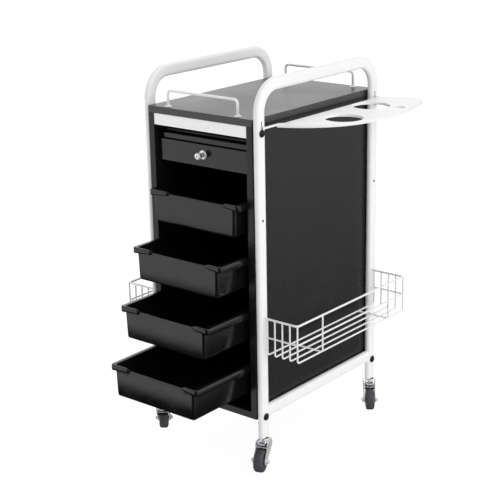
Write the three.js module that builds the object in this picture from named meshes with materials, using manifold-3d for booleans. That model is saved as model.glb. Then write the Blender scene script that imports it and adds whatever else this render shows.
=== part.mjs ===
// Spa trolley cart: two bent-tube side frames carry a board cabinet with a locking top drawer,
// four pull-out trays, worktop rails, an appliance holder and a wire basket on each side.
// Millimetres, +Z up, front of the cabinet towards -Y. All pieces are closed solids.
import * as THREE from 'three';
import { mergeVertices } from 'three/addons/utils/BufferGeometryUtils.js';
import Module from 'manifold-3d';

const wasm = await Module();
wasm.setup();

// ---- Driving dimensions -------------------------------------------------------------------
const GAP = 0.3;                    // clearance between pieces that touch

const CABINET_WIDTH = 286;
const CABINET_DEPTH = 438;
const CABINET_BOTTOM = 115;
const WORKTOP_HEIGHT = 776;
const BOARD = 15;                   // cabinet board thickness
const BACK_BOARD = 10;

const TUBE_THICK = 14;              // flat-oval tube, across the cabinet
const TUBE_DEEP = 28;               // flat-oval tube, in the plane of the side frame
const TUBE_WALL = 1.5;
const LEG_BOTTOM = 72.5;
const FRAME_HEIGHT = 856.5;
const ARCH_RADIUS = 56;             // centreline radius of the arch bends
const LOWER_RAIL_HEIGHT = 131.8;    // centreline of the rail between the legs

const CROSS_BAR_DEEP = 15;
const CROSS_BAR_TALL = 24.6;

const TRAY_RIM = 125;               // half width over the rim
const TRAY_TOP = 114.2;             // half width of the walls under the rim
const TRAY_BASE = 112.2;            // half width at the floor
const TRAY_LENGTH = 400;
const TRAY_TALL = 73;
const TOP_DRAWER_TALL = 58;
const TRAY_WALL = 2.5;
const RIM_TALL = 17;
const RIM_NOSE = 3.5;               // how far the rim stands out in front of the wall
const RIM_RADIUS = 9;
const GRIP_HALF = 79;               // half width of the finger cut-out in the front rim
const GRIP_MIDDLE = 8;              // how far right of the middle the cut-out lies
const GRIP_DROP = 7;
const DRAWER_FRONT_CLOSED = -200;
const TOP_DRAWER_FRONT = -207.5;    // the flat front plate of the top drawer
const TOP_DRAWER_RIM = 718.5;       // rim height of the top drawer

const RUNNER_FRONT = -195;
const RUNNER_LENGTH = 400;
const RUNNER_REACH = 11;
const RUNNER_SHEET = 1.8;

const LOCK_X = 0;
const LOCK_HEIGHT = 683;

const RAIL_HALF = 96.5;             // worktop wire rails
const RAIL_Y = 206;
const RAIL_TOP = 810.5;
const RAIL_WIRE = 3;
const FOOT_RADIUS = 8;              // flared feet of the wire rails
const SEAT_DEPTH = 0.6;             // shallow seat in the worktop under each foot

const BASKET_WIRE = 1.7;            // basket wire radius
const BASKET_RIM_WIRE = 2.2;
const BASKET_INNER = 163;           // first upright wire, from the cabinet's middle
const BASKET_OUTER = 243;
const BASKET_HALF = 203;
const BASKET_TOP = 348.5;
const BASKET_MIDDLE = 306;
const BASKET_BASE = 266;
const BASKET_LONG_WIRES = 5;
const BASKET_TIES = [-115, 140];    // cross wires, along the basket

const HOLDER_TOP = 758.5;
const HOLDER_PLATE = 6;
const HOOK_SLOT = [756, 772];       // lowest and highest point of a hook slot in the leg
const HOOK_DROP = 5;                // how far a hook reaches down behind the leg's wall
const HOOK_TALL = 3.6;              // height of the hook where it passes the slot
const HOOK_HALF = 1.6;              // half its width
const HOOK_THICK = 2.8;             // thickness of the hook's tip, behind the wall

const BOLT_RADIUS = 3;
const BOLT_CAP_RADIUS = 8;
const BOLT_HEIGHTS = { upper: 747.5, lower: 121.8 };

const WHEEL_RADIUS = 25.5;
const WHEEL_WIDTH = 18;
const TRAIL = 23;                   // axle behind the swivel line
const FORK_GAP = 24;
const FORK_SHEET = 2.5;
const AXLE_RADIUS = 3;

const LEG_X = CABINET_WIDTH / 2 + GAP + TUBE_THICK / 2;
const LEG_Y = CABINET_DEPTH / 2 - TUBE_DEEP / 2;

// ---- Materials ----------------------------------------------------------------------------
const paint = (color, roughness, metalness) =>
  new THREE.MeshStandardMaterial({ color, roughness, metalness });
const white = () => paint(0xf3f3f2, 0.38, 0.0);
const blackBoard = () => paint(0x141416, 0.12, 0.0);
const blackTray = () => paint(0x17171a, 0.1, 0.0);
const blackMatt = () => paint(0x1a1a1c, 0.5, 0.0);
const chrome = () => paint(0xd8dadd, 0.12, 1.0);
const rubber = () => paint(0x34353a, 0.6, 0.0);

// ---- Solids: joining and cutting ----------------------------------------------------------
function toSolid(geometry) {
  const bare = geometry.clone();
  bare.deleteAttribute('normal');
  bare.deleteAttribute('uv');
  const merged = mergeVertices(bare, 1e-4);
  return new wasm.Manifold(new wasm.Mesh({
    numProp: 3,
    vertProperties: new Float32Array(merged.attributes.position.array),
    triVerts: new Uint32Array(merged.index.array),
  }));
}

function toGeometry(solid) {
  const mesh = solid.getMesh();
  const geometry = new THREE.BufferGeometry();
  geometry.setAttribute('position', new THREE.BufferAttribute(new Float32Array(mesh.vertProperties), 3));
  geometry.setIndex(new THREE.BufferAttribute(new Uint32Array(mesh.triVerts), 1));
  geometry.computeVertexNormals();
  return geometry;
}

function join(pieces) {
  return toGeometry(pieces.map(toSolid).reduce((all, next) => all.add(next)));
}

function cut(piece, tools) {
  return toGeometry(tools.map(toSolid).reduce((left, tool) => left.subtract(tool), toSolid(piece)));
}

// ---- Plain shapes -------------------------------------------------------------------------
function block(x0, x1, y0, y1, z0, z1) {
  const geometry = new THREE.BoxGeometry(x1 - x0, y1 - y0, z1 - z0);
  return geometry.translate((x0 + x1) / 2, (y0 + y1) / 2, (z0 + z1) / 2);
}

// A cylinder of the given length centred on a point, along 'x', 'y' or 'z'.
function rod(axis, radius, length, x, y, z, sides = 16) {
  const geometry = new THREE.CylinderGeometry(radius, radius, length, sides);
  if (axis === 'x') {
    geometry.rotateZ(Math.PI / 2);
  }
  if (axis === 'z') {
    geometry.rotateX(Math.PI / 2);
  }
  return geometry.translate(x, y, z);
}

// A turned piece about Z: profile points are [radius, height], bottom to top, axis to axis.
function turned(profile, sides) {
  const points = profile.map(([r, h]) => new THREE.Vector2(r, h));
  return new THREE.LatheGeometry(points, sides).rotateX(Math.PI / 2);
}

// Board with a small chamfer on the four edges that run along Y.
function board(x0, x1, y0, y1, z0, z1, chamfer = 0.8) {
  const shape = new THREE.Shape();
  shape.moveTo(x0 + chamfer, z0);
  shape.lineTo(x1 - chamfer, z0);
  shape.lineTo(x1, z0 + chamfer);
  shape.lineTo(x1, z1 - chamfer);
  shape.lineTo(x1 - chamfer, z1);
  shape.lineTo(x0 + chamfer, z1);
  shape.lineTo(x0, z1 - chamfer);
  shape.lineTo(x0, z0 + chamfer);
  shape.closePath();
  const geometry = new THREE.ExtrudeGeometry(shape, { depth: y1 - y0, bevelEnabled: false });
  return geometry.rotateX(Math.PI / 2).translate(0, y1, 0);
}

// The same piece on the other side of the cabinet.
function mirrored(geometry) {
  const copy = geometry.clone().scale(-1, 1, 1);
  const flat = copy.index ? copy.toNonIndexed() : copy;
  const p = flat.attributes.position.array;
  for (let i = 0; i < p.length; i += 9) {
    for (let k = 0; k < 3; k += 1) {
      const swap = p[i + 3 + k];
      p[i + 3 + k] = p[i + 6 + k];
      p[i + 6 + k] = swap;
    }
  }
  flat.computeVertexNormals();
  return flat;
}

// ---- Bent tube and wire -------------------------------------------------------------------
// A flat path with its own stations: straight runs take no extra steps. The section's x lies in
// the plane of the bend and its y along the plane's normal; corners are mitred.
class StationPath extends THREE.Curve {
  constructor(points, planeNormal) {
    super();
    this.points = points;
    this.planeNormal = planeNormal;
  }

  getPoint(t) {
    const at = t * (this.points.length - 1);
    const i = Math.min(Math.floor(at), this.points.length - 2);
    return this.points[i].clone().lerp(this.points[i + 1], at - i);
  }

  getSpacedPoints() {
    return this.points;
  }

  computeFrenetFrames() {
    const last = this.points.length - 1;
    const tangents = [];
    const normals = [];
    const binormals = [];
    for (let i = 0; i <= last; i += 1) {
      const into = this.points[i].clone().sub(this.points[Math.max(i - 1, 0)]).normalize();
      const out = this.points[Math.min(i + 1, last)].clone().sub(this.points[i]).normalize();
      const tangent = into.clone().add(out).normalize();
      const halfCos = (i === 0 || i === last) ? 1 : Math.max(tangent.dot(out), 0.3);
      tangents.push(tangent);
      normals.push(this.planeNormal.clone().cross(tangent).normalize().multiplyScalar(1 / halfCos));
      binormals.push(this.planeNormal.clone());
    }
    return { tangents, normals, binormals };
  }
}

// Corner points of a path with each inner corner turned into an arc of the given radius.
function rounded(corners, radius, steps) {
  const out = [corners[0]];
  for (let i = 1; i < corners.length - 1; i += 1) {
    const back = corners[i - 1].clone().sub(corners[i]).normalize();
    const ahead = corners[i + 1].clone().sub(corners[i]).normalize();
    const half = back.angleTo(ahead) / 2;
    const reach = radius / Math.tan(half);
    const inward = back.clone().add(ahead).normalize();
    const centre = corners[i].clone().addScaledVector(inward, radius / Math.sin(half));
    const from = corners[i].clone().addScaledVector(back, reach).sub(centre);
    const to = corners[i].clone().addScaledVector(ahead, reach).sub(centre);
    const sweep = from.angleTo(to);
    for (let s = 0; s <= steps; s += 1) {
      const t = s / steps;
      const a = Math.sin((1 - t) * sweep) / Math.sin(sweep);
      const b = Math.sin(t * sweep) / Math.sin(sweep);
      out.push(centre.clone().addScaledVector(from, a).addScaledVector(to, b));
    }
  }
  out.push(corners[corners.length - 1]);
  return out;
}

function sweep(section, points, planeNormal) {
  const extrudePath = new StationPath(points, planeNormal);
  return new THREE.ExtrudeGeometry(section, { steps: points.length - 1, extrudePath, bevelEnabled: false });
}

// Outline with two straight sides and two round ends; deep runs along the section's x.
function ovalPoints(deep, thick, steps) {
  const r = thick / 2;
  const run = deep / 2 - r;
  const points = [];
  for (const side of [1, -1]) {
    for (let s = 0; s <= steps; s += 1) {
      const a = -Math.PI / 2 + (Math.PI * s) / steps;
      points.push(new THREE.Vector2(side * (run + r * Math.cos(a)), side * r * Math.sin(a)));
    }
  }
  return points;
}

function ovalSection(deep, thick, wall, steps = 4) {
  const shape = new THREE.Shape(ovalPoints(deep, thick, steps));
  if (wall > 0) {
    shape.holes.push(new THREE.Path(ovalPoints(deep - 2 * wall, thick - 2 * wall, steps)));
  }
  return shape;
}

function roundSection(radius, sides) {
  const points = [];
  for (let i = 0; i < sides; i += 1) {
    const a = (2 * Math.PI * (i + 0.5)) / sides;
    points.push(new THREE.Vector2(radius * Math.cos(a), radius * Math.sin(a)));
  }
  return new THREE.Shape(points);
}

const V = (x, y, z) => new THREE.Vector3(x, y, z);
const ALONG_X = V(1, 0, 0);
const ALONG_Y = V(0, 1, 0);
const ALONG_Z = V(0, 0, 1);

// ---- Lofted shells ------------------------------------------------------------------------
// A ring is a rectangle with round corners at one height, always with the same point count.
function roundedRing(halfX, y0, y1, radius, z, steps = 3) {
  const ring = [];
  const corners = [[1, 1, 0], [-1, 1, 1], [-1, -1, 2], [1, -1, 3]];
  for (const [sx, sy, quarter] of corners) {
    const cx = sx * (halfX - radius);
    const cy = sy > 0 ? y1 - radius : y0 + radius;
    for (let s = 0; s <= steps; s += 1) {
      const a = (quarter + s / steps) * (Math.PI / 2);
      ring.push(V(cx + radius * Math.cos(a), cy + radius * Math.sin(a), z));
    }
  }
  return ring;
}

// Skin over a list of rings, closed by a flat cap at the first and the last ring.
function loft(rings) {
  const n = rings[0].length;
  const positions = [];
  const index = [];
  rings.forEach((ring) => ring.forEach((p) => positions.push(p.x, p.y, p.z)));
  for (let k = 0; k < rings.length - 1; k += 1) {
    for (let i = 0; i < n; i += 1) {
      const a = k * n + i;
      const b = k * n + ((i + 1) % n);
      index.push(a, b, b + n, a, b + n, a + n);
    }
  }
  const top = (rings.length - 1) * n;
  for (let i = 1; i < n - 1; i += 1) {
    index.push(0, i + 1, i);
    index.push(top, top + i, top + i + 1);
  }
  const geometry = new THREE.BufferGeometry();
  geometry.setAttribute('position', new THREE.Float32BufferAttribute(positions, 3));
  geometry.setIndex(index);
  geometry.computeVertexNormals();
  return geometry;
}

// ---- Assembly -----------------------------------------------------------------------------
const group = new THREE.Group();

function add(name, geometry, material, parent = group) {
  const mesh = new THREE.Mesh(geometry, material);
  mesh.name = name;
  parent.add(mesh);
  return mesh;
}

const SIDES = [['right', 1], ['left', -1]];
const ENDS = [['front', -1], ['rear', 1]];

// Side frames: one bent tube each, drilled for the bolts, the basket wires and, on the right,
// slotted for the holder's hooks.
const archTop = FRAME_HEIGHT - TUBE_DEEP / 2;
const archPath = rounded([
  V(LEG_X, -LEG_Y, LEG_BOTTOM),
  V(LEG_X, -LEG_Y, archTop),
  V(LEG_X, LEG_Y, archTop),
  V(LEG_X, LEG_Y, LEG_BOTTOM),
], ARCH_RADIUS, 6);
const plainArch = sweep(ovalSection(TUBE_DEEP, TUBE_THICK, TUBE_WALL), archPath, ALONG_X);

const outerFace = LEG_X + TUBE_THICK / 2;
const frameHoles = [];
const hookSlots = [];
for (const [, end] of ENDS) {
  for (const height of Object.values(BOLT_HEIGHTS)) {
    frameHoles.push(rod('x', BOLT_RADIUS + GAP, TUBE_THICK + 4, LEG_X, end * LEG_Y, height, 10));
  }
  frameHoles.push(rod('x', BASKET_RIM_WIRE + 0.6, 6, outerFace, end * BASKET_HALF, BASKET_TOP, 8));
  hookSlots.push(block(outerFace - 3, outerFace + 2, end * LEG_Y - 2, end * LEG_Y + 2, ...HOOK_SLOT));
}
add('right_side_frame', cut(plainArch, [...frameHoles, ...hookSlots]), white());
add('left_side_frame', mirrored(cut(plainArch, frameHoles)), white());

// Lower rails, coped to the legs they are welded to.
const railHalf = LEG_Y - TUBE_DEEP / 2 + TUBE_THICK / 2;
const plainRail = sweep(
  ovalSection(TUBE_DEEP, TUBE_THICK, 0),
  [V(LEG_X, -railHalf, LOWER_RAIL_HEIGHT), V(LEG_X, railHalf, LOWER_RAIL_HEIGHT)],
  ALONG_X,
);
const legSpace = [-1, 1].map((end) => sweep(
  ovalSection(TUBE_DEEP + 2 * GAP, TUBE_THICK + 2 * GAP, 0, 6),
  [V(LEG_X, end * LEG_Y, CABINET_BOTTOM - 20), V(LEG_X, end * LEG_Y, CABINET_BOTTOM + 60)],
  ALONG_X,
));
const lowerRail = cut(plainRail, legSpace);
add('right_lower_rail', lowerRail, white());
add('left_lower_rail', mirrored(lowerRail), white());

// Cabinet of five boards, with the white cross bar under the front of the worktop.
const halfWidth = CABINET_WIDTH / 2;
const halfDepth = CABINET_DEPTH / 2;
const inside = halfWidth - BOARD;
const underTop = WORKTOP_HEIGHT - BOARD - GAP;
const innerHalf = inside - GAP;
const topBoard = board(-halfWidth, halfWidth, -halfDepth, halfDepth, underTop + GAP, WORKTOP_HEIGHT);
const railSeats = [];
for (const [, side] of SIDES) {
  for (const [, end] of ENDS) {
    railSeats.push(
      rod('z', FOOT_RADIUS + GAP, 2 * SEAT_DEPTH, side * RAIL_HALF, end * RAIL_Y, WORKTOP_HEIGHT, 24));
  }
}
add('worktop', cut(topBoard, railSeats), blackBoard());
const panelHoles = [];
for (const [, end] of ENDS) {
  for (const height of Object.values(BOLT_HEIGHTS)) {
    panelHoles.push(rod('x', BOLT_RADIUS + GAP, 2 * (BOARD - 4), halfWidth, end * LEG_Y, height, 10));
  }
}
const plainPanel = board(inside, halfWidth, -halfDepth, halfDepth, CABINET_BOTTOM, underTop);
const sidePanel = cut(plainPanel, panelHoles);
add('right_panel', sidePanel, blackBoard());
add('left_panel', mirrored(sidePanel), blackBoard());
add('bottom_panel',
  board(-innerHalf, innerHalf, -halfDepth, halfDepth, CABINET_BOTTOM, CABINET_BOTTOM + BOARD),
  blackBoard());
add('back_panel',
  board(-innerHalf, innerHalf, halfDepth - BACK_BOARD, halfDepth,
    CABINET_BOTTOM + BOARD + GAP, underTop), blackBoard());
const barFront = -halfDepth + 1;
const barBottom = underTop - CROSS_BAR_TALL;
add('front_cross_bar',
  board(-innerHalf, innerHalf, barFront, barFront + CROSS_BAR_DEEP, barBottom, underTop - GAP), white());

// Trays: walls leaning out to a rolled rim whose lip rides in the channel runners.
// front is the rim's front face, top its height.
function trayShell(front, top, tall = TRAY_TALL) {
  const floor = top - tall;
  const back = front + TRAY_LENGTH;
  const lean = RIM_NOSE + 1;
  const lipIn = TRAY_RIM - TRAY_WALL;
  const r = RIM_RADIUS;
  return loft([
    roundedRing(TRAY_BASE - 3, front + lean + 3, back - lean - 3, r - 5, floor),
    roundedRing(TRAY_BASE, front + lean, back - lean, r - 3, floor + 3),
    roundedRing(TRAY_TOP, front + RIM_NOSE, back - RIM_NOSE, r - 2, top - TRAY_WALL),
    roundedRing(lipIn, front + TRAY_WALL, back - TRAY_WALL, r - 1, top - TRAY_WALL - 0.5),
    roundedRing(lipIn, front + TRAY_WALL, back - TRAY_WALL, r - 1, top - RIM_TALL),
    roundedRing(TRAY_RIM, front, back, r, top - RIM_TALL),
    roundedRing(TRAY_RIM, front, back, r, top - 2),
    roundedRing(TRAY_RIM - 2, front + 2, back - 2, r - 1, top),
    roundedRing(TRAY_TOP - 1, front + RIM_NOSE + 1.5, back - RIM_NOSE - 1.5, r - 3, top),
    roundedRing(TRAY_TOP - TRAY_WALL, front + RIM_NOSE + TRAY_WALL, back - RIM_NOSE - TRAY_WALL,
      r - 4, top - 1.5),
    roundedRing(TRAY_BASE - TRAY_WALL, front + lean + TRAY_WALL, back - lean - TRAY_WALL, r - 5, floor + 6),
    roundedRing(TRAY_BASE - TRAY_WALL - 3, front + lean + 5.5, back - lean - 5.5, r - 6, floor + TRAY_WALL),
  ]);
}

// The middle of the front rim is cut away: the lip goes and the wall behind it is lower.
function trayWithGrip(front, top) {
  const rimOff = loft([
    roundedRing(GRIP_HALF, front - 4, front + RIM_NOSE + 0.7, 2, top - RIM_TALL - 2),
    roundedRing(GRIP_HALF, front - 4, front + RIM_NOSE + 0.05, 2, top + 2),
  ]);
  const wallLower = loft([
    roundedRing(GRIP_HALF - 6, front - 4, front + RIM_NOSE + TRAY_WALL + 6, 2, top - GRIP_DROP),
    roundedRing(GRIP_HALF, front - 4, front + RIM_NOSE + TRAY_WALL + 6, 2, top - GRIP_DROP + 6),
    roundedRing(GRIP_HALF, front - 4, front + RIM_NOSE + TRAY_WALL + 6, 2, top + 2),
  ]);
  return cut(trayShell(front, top), [rimOff, wallLower].map((g) => g.translate(GRIP_MIDDLE, 0, 0)));
}

// name, rim height, distance pulled out
const TRAYS = [
  ['tray_2', 599.5, 47],
  ['tray_3', 482.5, 106.5],
  ['tray_4', 361, 152],
  ['tray_5', 238, 190.5],
];
for (const [name, top, pulled] of TRAYS) {
  add(name, trayWithGrip(DRAWER_FRONT_CLOSED - pulled, top), blackTray());
}

// Top drawer: a shallower tray with a whole rim, behind a flat front plate that stands below the rim.
const plateBack = TOP_DRAWER_FRONT + 4;
const topShell = trayShell(plateBack + GAP, TOP_DRAWER_RIM, TOP_DRAWER_TALL);
const barrelHole = (r) => rod('y', r, 40, LOCK_X, plateBack, LOCK_HEIGHT, 20);
add('drawer_1_tray', cut(topShell, [barrelHole(8.5)]), blackTray());
const frontPlate = board(-TRAY_RIM, TRAY_RIM, TOP_DRAWER_FRONT, plateBack,
  TOP_DRAWER_RIM - 60.5, TOP_DRAWER_RIM - 14, 1.5);
add('drawer_1_front', cut(frontPlate, [barrelHole(8.3)]), blackTray());

// Lock: a flanged barrel through the front, a knob with the keyhole on its spindle, and a long
// cam behind that swings up behind the strike under the cross bar.
const flange = turned([[0, -16], [8, -16], [8, 0.3], [10, 0.3], [10, 2], [8.5, 3.2], [0, 3.2]], 24);
const spindleBore = rod('z', 3.3, 60, 0, 0, 0, 16);
const barrel = cut(flange, [spindleBore]).rotateX(Math.PI / 2);
add('lock_barrel', barrel.translate(LOCK_X, TOP_DRAWER_FRONT, LOCK_HEIGHT), chrome());
const knobProfile = [
  [0, -22], [3, -22], [3, 4], [4.5, 4], [4.5, 15], [6.8, 15.8], [6.8, 19.4], [5.6, 20.6], [0, 20.6],
];
const keyway = block(-0.7, 0.7, -2.6, 2.6, 15, 24);
const knob = cut(turned(knobProfile, 20), [keyway]).rotateX(Math.PI / 2);
add('lock_knob', knob.translate(LOCK_X, TOP_DRAWER_FRONT, LOCK_HEIGHT), chrome());
const camFront = TOP_DRAWER_FRONT + 17;
const camLength = 47;
const camBoss = rod('y', 7.5, 2.5, LOCK_X, camFront + 1.25, LOCK_HEIGHT, 16);
const camArm = block(LOCK_X, LOCK_X + camLength, camFront, camFront + 2.5,
  LOCK_HEIGHT - 5, LOCK_HEIGHT + 5);
const camBore = rod('y', 3 + GAP, 10, LOCK_X, camFront, LOCK_HEIGHT, 16);
add('lock_cam', cut(join([camBoss, camArm]), [camBore]), chrome());

// Strike: a square bar from panel to panel, just above the drawer's rim, in front of the raised cam.
const STRIKE_BAR = 4;
const strikeBack = camFront - 1;
const strikeLow = TOP_DRAWER_RIM + 3.5;
add('lock_strike',
  block(-innerHalf, innerHalf, strikeBack - STRIKE_BAR, strikeBack, strikeLow, strikeLow + STRIKE_BAR),
  blackMatt());

// Channel runners, one pair for each drawer; the rim's lip runs between their two flanges.
const runnerOuter = inside - GAP;
const RUNNERS = [['1', TOP_DRAWER_RIM], ...TRAYS.map(([name, top]) => [name.slice(-1), top])];
for (const [number, top] of RUNNERS) {
  const low = top - RIM_TALL - 0.4;
  const high = top + 0.4;
  const shape = new THREE.Shape();
  shape.moveTo(runnerOuter, low - RUNNER_SHEET);
  shape.lineTo(runnerOuter, high + RUNNER_SHEET);
  shape.lineTo(runnerOuter - RUNNER_REACH, high + RUNNER_SHEET);
  shape.lineTo(runnerOuter - RUNNER_REACH, high);
  shape.lineTo(runnerOuter - RUNNER_SHEET, high);
  shape.lineTo(runnerOuter - RUNNER_SHEET, low);
  shape.lineTo(runnerOuter - RUNNER_REACH, low);
  shape.lineTo(runnerOuter - RUNNER_REACH, low - RUNNER_SHEET);
  shape.closePath();
  const runner = new THREE.ExtrudeGeometry(shape, { depth: RUNNER_LENGTH, bevelEnabled: false });
  runner.rotateX(Math.PI / 2).translate(0, RUNNER_FRONT + RUNNER_LENGTH, 0);
  add(`runner_${number}_right`, runner, blackMatt());
  add(`runner_${number}_left`, mirrored(runner), blackMatt());
}

// Wire rails standing on the worktop on flared feet.
for (const [name, end] of ENDS) {
  const y = end * RAIL_Y;
  const foot = WORKTOP_HEIGHT - SEAT_DEPTH + GAP;
  const path = rounded([
    V(-RAIL_HALF, y, foot + 1),
    V(-RAIL_HALF, y, RAIL_TOP),
    V(RAIL_HALF, y, RAIL_TOP),
    V(RAIL_HALF, y, foot + 1),
  ], 9, 3);
  const flare = () => turned(
    [[0, 0], [FOOT_RADIUS, 0], [FOOT_RADIUS, 1], [4.4, 3.2], [3.2, 7], [0, 7]], 12);
  add(`${name}_rail`, join([
    sweep(roundSection(RAIL_WIRE, 8), path, ALONG_Y),
    flare().translate(-RAIL_HALF, y, foot),
    flare().translate(RAIL_HALF, y, foot),
  ]), white());
}

// Appliance holder: a flat plate outside the right legs with round holes, on two hooks that
// drop behind the wall of the leg.
const holderInner = outerFace + 4;
const holderFront = -160;
const outline = new THREE.Shape();
outline.moveTo(holderInner, holderFront);
outline.quadraticCurveTo(272, -114, 294, -5);
outline.quadraticCurveTo(309, 72, 292, 150);
outline.lineTo(281, 196);
outline.quadraticCurveTo(270, 244, 238, 249);
outline.quadraticCurveTo(222, 250, 205, 240);
outline.lineTo(holderInner, 216);
outline.closePath();
for (const [x, y, r] of [[234, -26, 41], [206, 117, 41], [267, 136, 13]]) {
  const hole = new THREE.Path();
  hole.absarc(x, y, r, 0, 2 * Math.PI, true);
  outline.holes.push(hole);
}
const plate = new THREE.ExtrudeGeometry(outline,
  { depth: HOLDER_PLATE, bevelEnabled: false, curveSegments: 10 });
plate.translate(0, 0, HOLDER_TOP - HOLDER_PLATE);
const holderParts = [plate];
const neckLow = HOOK_SLOT[0] + GAP;
const neckHigh = neckLow + HOOK_TALL;
const tubeInside = outerFace - TUBE_WALL;
const hookEnd = tubeInside - HOOK_THICK;
for (const [, end] of ENDS) {
  const y = end * LEG_Y;
  const front = y - HOOK_HALF;
  const back = y + HOOK_HALF;
  const root = end < 0 ? holderFront + 10 : y;
  holderParts.push(
    block(hookEnd, holderInner + 1, front, back, neckLow, neckHigh),
    block(hookEnd, tubeInside - GAP, front, back, neckLow - HOOK_DROP, neckLow + 1),
    block(outerFace + GAP, holderInner + 1, front, root + HOOK_HALF, neckLow, neckHigh),
    block(holderInner + 0.4, holderInner + 4, root - 9, root + 9, HOLDER_TOP - 2, neckHigh),
  );
}
add('tool_holder', join(holderParts), white());

// Wire baskets: long U wires, a rim and a middle wire round three sides, and two cross wires.
// The rim's ends pass through holes into the legs.
function basket() {
  const wires = [];
  const wire = roundSection(BASKET_WIRE, 6);
  for (let i = 0; i < BASKET_LONG_WIRES; i += 1) {
    const x = BASKET_INNER + ((BASKET_OUTER - BASKET_INNER) * i) / (BASKET_LONG_WIRES - 1);
    wires.push(sweep(wire, rounded([
      V(x, -BASKET_HALF, BASKET_TOP),
      V(x, -BASKET_HALF, BASKET_BASE),
      V(x, BASKET_HALF, BASKET_BASE),
      V(x, BASKET_HALF, BASKET_TOP),
    ], 6, 2), ALONG_X));
  }
  const around = (radius, x0, z, sides) => sweep(roundSection(radius, sides), rounded([
    V(x0, -BASKET_HALF, z),
    V(BASKET_OUTER, -BASKET_HALF, z),
    V(BASKET_OUTER, BASKET_HALF, z),
    V(x0, BASKET_HALF, z),
  ], 7, 3), ALONG_Z);
  wires.push(around(BASKET_RIM_WIRE, outerFace - 4.5, BASKET_TOP, 8));
  wires.push(around(BASKET_WIRE, BASKET_INNER, BASKET_MIDDLE, 6));
  for (const y of BASKET_TIES) {
    wires.push(sweep(wire, rounded([
      V(BASKET_INNER, y, BASKET_BASE - 1.5),
      V(BASKET_OUTER + 1, y, BASKET_BASE - 1.5),
      V(BASKET_OUTER + 1, y, BASKET_TOP),
    ], 5, 2), ALONG_Y));
  }
  return join(wires);
}
const rightBasket = basket();
add('right_basket', rightBasket, white());
add('left_basket', mirrored(rightBasket), white());

// Capped bolts through the legs into the side panels.
const bolt = join([
  rod('x', BOLT_RADIUS, 22, outerFace - 10, 0, 0, 8),
  turned([[0, 0], [BOLT_CAP_RADIUS, 0], [BOLT_CAP_RADIUS, 1.4], [6, 3.2], [0, 3.8]], 12)
    .rotateY(Math.PI / 2).translate(outerFace + GAP, 0, 0),
]);
for (const [sideName, side] of SIDES) {
  for (const [endName, end] of ENDS) {
    for (const [level, height] of Object.entries(BOLT_HEIGHTS)) {
      const geometry = side > 0 ? bolt.clone() : mirrored(bolt);
      const mesh = add(`bolt_${level}_${endName}_${sideName}`, geometry, blackMatt());
      mesh.position.set(0, end * LEG_Y, height);
    }
  }
}

// Casters: the stem's oval insert fills the foot of the leg, its rivet carries the fork.
const COLLAR_TOP = LEG_BOTTOM - GAP;
const FORK_TOP = 61;
const FORK_SHOULDER = 68;           // the cheeks stand above the crown, beside the collar
const CROWN_RADIUS = 18;
const COLLAR_RADIUS = 10.5;          // bearing above the crown
const HOUSING_RADIUS = 10.8;         // bearing below the crown
const FORK_DISC = 4;
const PIN_RADIUS = 4;
function casterStem() {
  const insertDeep = TUBE_DEEP - 2 * TUBE_WALL - 2 * GAP;
  const insertThick = TUBE_THICK - 2 * TUBE_WALL - 2 * GAP;
  const insert = sweep(ovalSection(insertDeep, insertThick, 0),
    [V(0, 0, COLLAR_TOP - 1), V(0, 0, COLLAR_TOP + 24)], ALONG_X);
  const rivet = turned([
    [0, FORK_TOP - FORK_DISC - 5], [HOUSING_RADIUS - 1, FORK_TOP - FORK_DISC - 5],
    [HOUSING_RADIUS, FORK_TOP - FORK_DISC - 3.5], [HOUSING_RADIUS, FORK_TOP - FORK_DISC - GAP],
    [PIN_RADIUS, FORK_TOP - FORK_DISC - GAP],
    [PIN_RADIUS, FORK_TOP + GAP], [COLLAR_RADIUS - 1, FORK_TOP + GAP], [COLLAR_RADIUS, FORK_TOP + 1.4],
    [COLLAR_RADIUS, COLLAR_TOP - 1], [COLLAR_RADIUS - 1, COLLAR_TOP], [0, COLLAR_TOP],
  ], 16);
  return join([insert, rivet]);
}

// Fork: a round crown and two cheeks, which stand above it beside the bearing and run back to the axle.
function casterFork() {
  const crown = turned([
    [0, FORK_TOP - FORK_DISC], [CROWN_RADIUS, FORK_TOP - FORK_DISC], [CROWN_RADIUS, FORK_TOP - 1.5],
    [CROWN_RADIUS - 1.5, FORK_TOP], [0, FORK_TOP],
  ], 18);
  const cheek = new THREE.Shape();
  cheek.moveTo(-9, FORK_SHOULDER);
  cheek.lineTo(-13, FORK_SHOULDER - 4);
  cheek.lineTo(-13, FORK_TOP - FORK_DISC - 7);
  cheek.lineTo(TRAIL - 8, WHEEL_RADIUS - 1);
  cheek.quadraticCurveTo(TRAIL - 5, WHEEL_RADIUS - 8, TRAIL, WHEEL_RADIUS - 8);
  cheek.quadraticCurveTo(TRAIL + 8, WHEEL_RADIUS - 8, TRAIL + 8, WHEEL_RADIUS);
  cheek.lineTo(14, FORK_TOP - FORK_DISC - 7);
  cheek.lineTo(14, FORK_SHOULDER - 4);
  cheek.lineTo(10, FORK_SHOULDER);
  cheek.closePath();
  const plates = [FORK_GAP / 2, -FORK_GAP / 2 - FORK_SHEET].map((x) => {
    const g = new THREE.ExtrudeGeometry(cheek,
      { depth: FORK_SHEET, bevelEnabled: false, curveSegments: 4 });
    return g.rotateX(Math.PI / 2).rotateZ(Math.PI / 2).translate(x, 0, 0);
  });
  const bridge = block(-FORK_GAP / 2 - 1, FORK_GAP / 2 + 1, -12.9, 12.9,
    FORK_TOP - FORK_DISC, FORK_TOP - 1.6);
  return cut(join([crown, bridge, ...plates]), [
    rod('z', PIN_RADIUS + GAP, 40, 0, 0, FORK_TOP, 12),
    rod('x', AXLE_RADIUS + GAP, 60, 0, TRAIL, WHEEL_RADIUS, 12),
  ]);
}

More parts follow.
